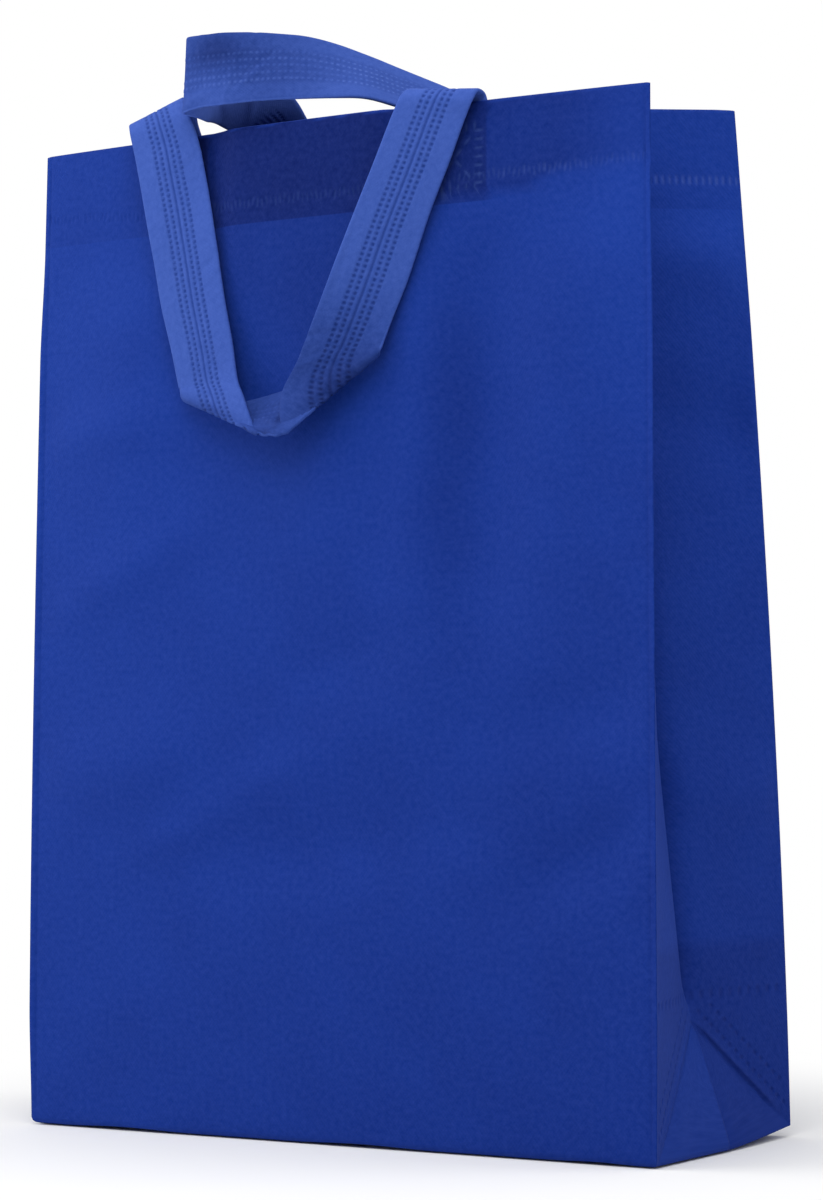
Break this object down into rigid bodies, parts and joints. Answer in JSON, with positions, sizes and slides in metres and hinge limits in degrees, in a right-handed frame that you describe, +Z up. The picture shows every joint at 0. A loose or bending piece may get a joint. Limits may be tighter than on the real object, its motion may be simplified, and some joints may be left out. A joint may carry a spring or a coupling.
{
  "type": "non-woven box bag",
  "caption": "Empty upright carrier bag of folded, heat-welded non-woven cloth, with side gussets folded inwards, a flat base, a turned hem and flat tape handles draped over the rim.",
  "frame": {"origin": "middle of the flat base, on the ground", "axes": "+Z up, -Y out of the front panel that the front handle hangs over, +X to the right as seen from the front"},
  "size_m": [0.257, 0.1139, 0.3831],
  "materials": {
    "sheet": "matt non-woven cloth with a fine embossed grain",
    "tape": "matt folded non-woven tape with rows of weld dots"
  },
  "bodies": {
    "root": {"bag_body": "sheet", "front_handle": "tape", "back_handle": "tape"}
  },
  "joints": []
}
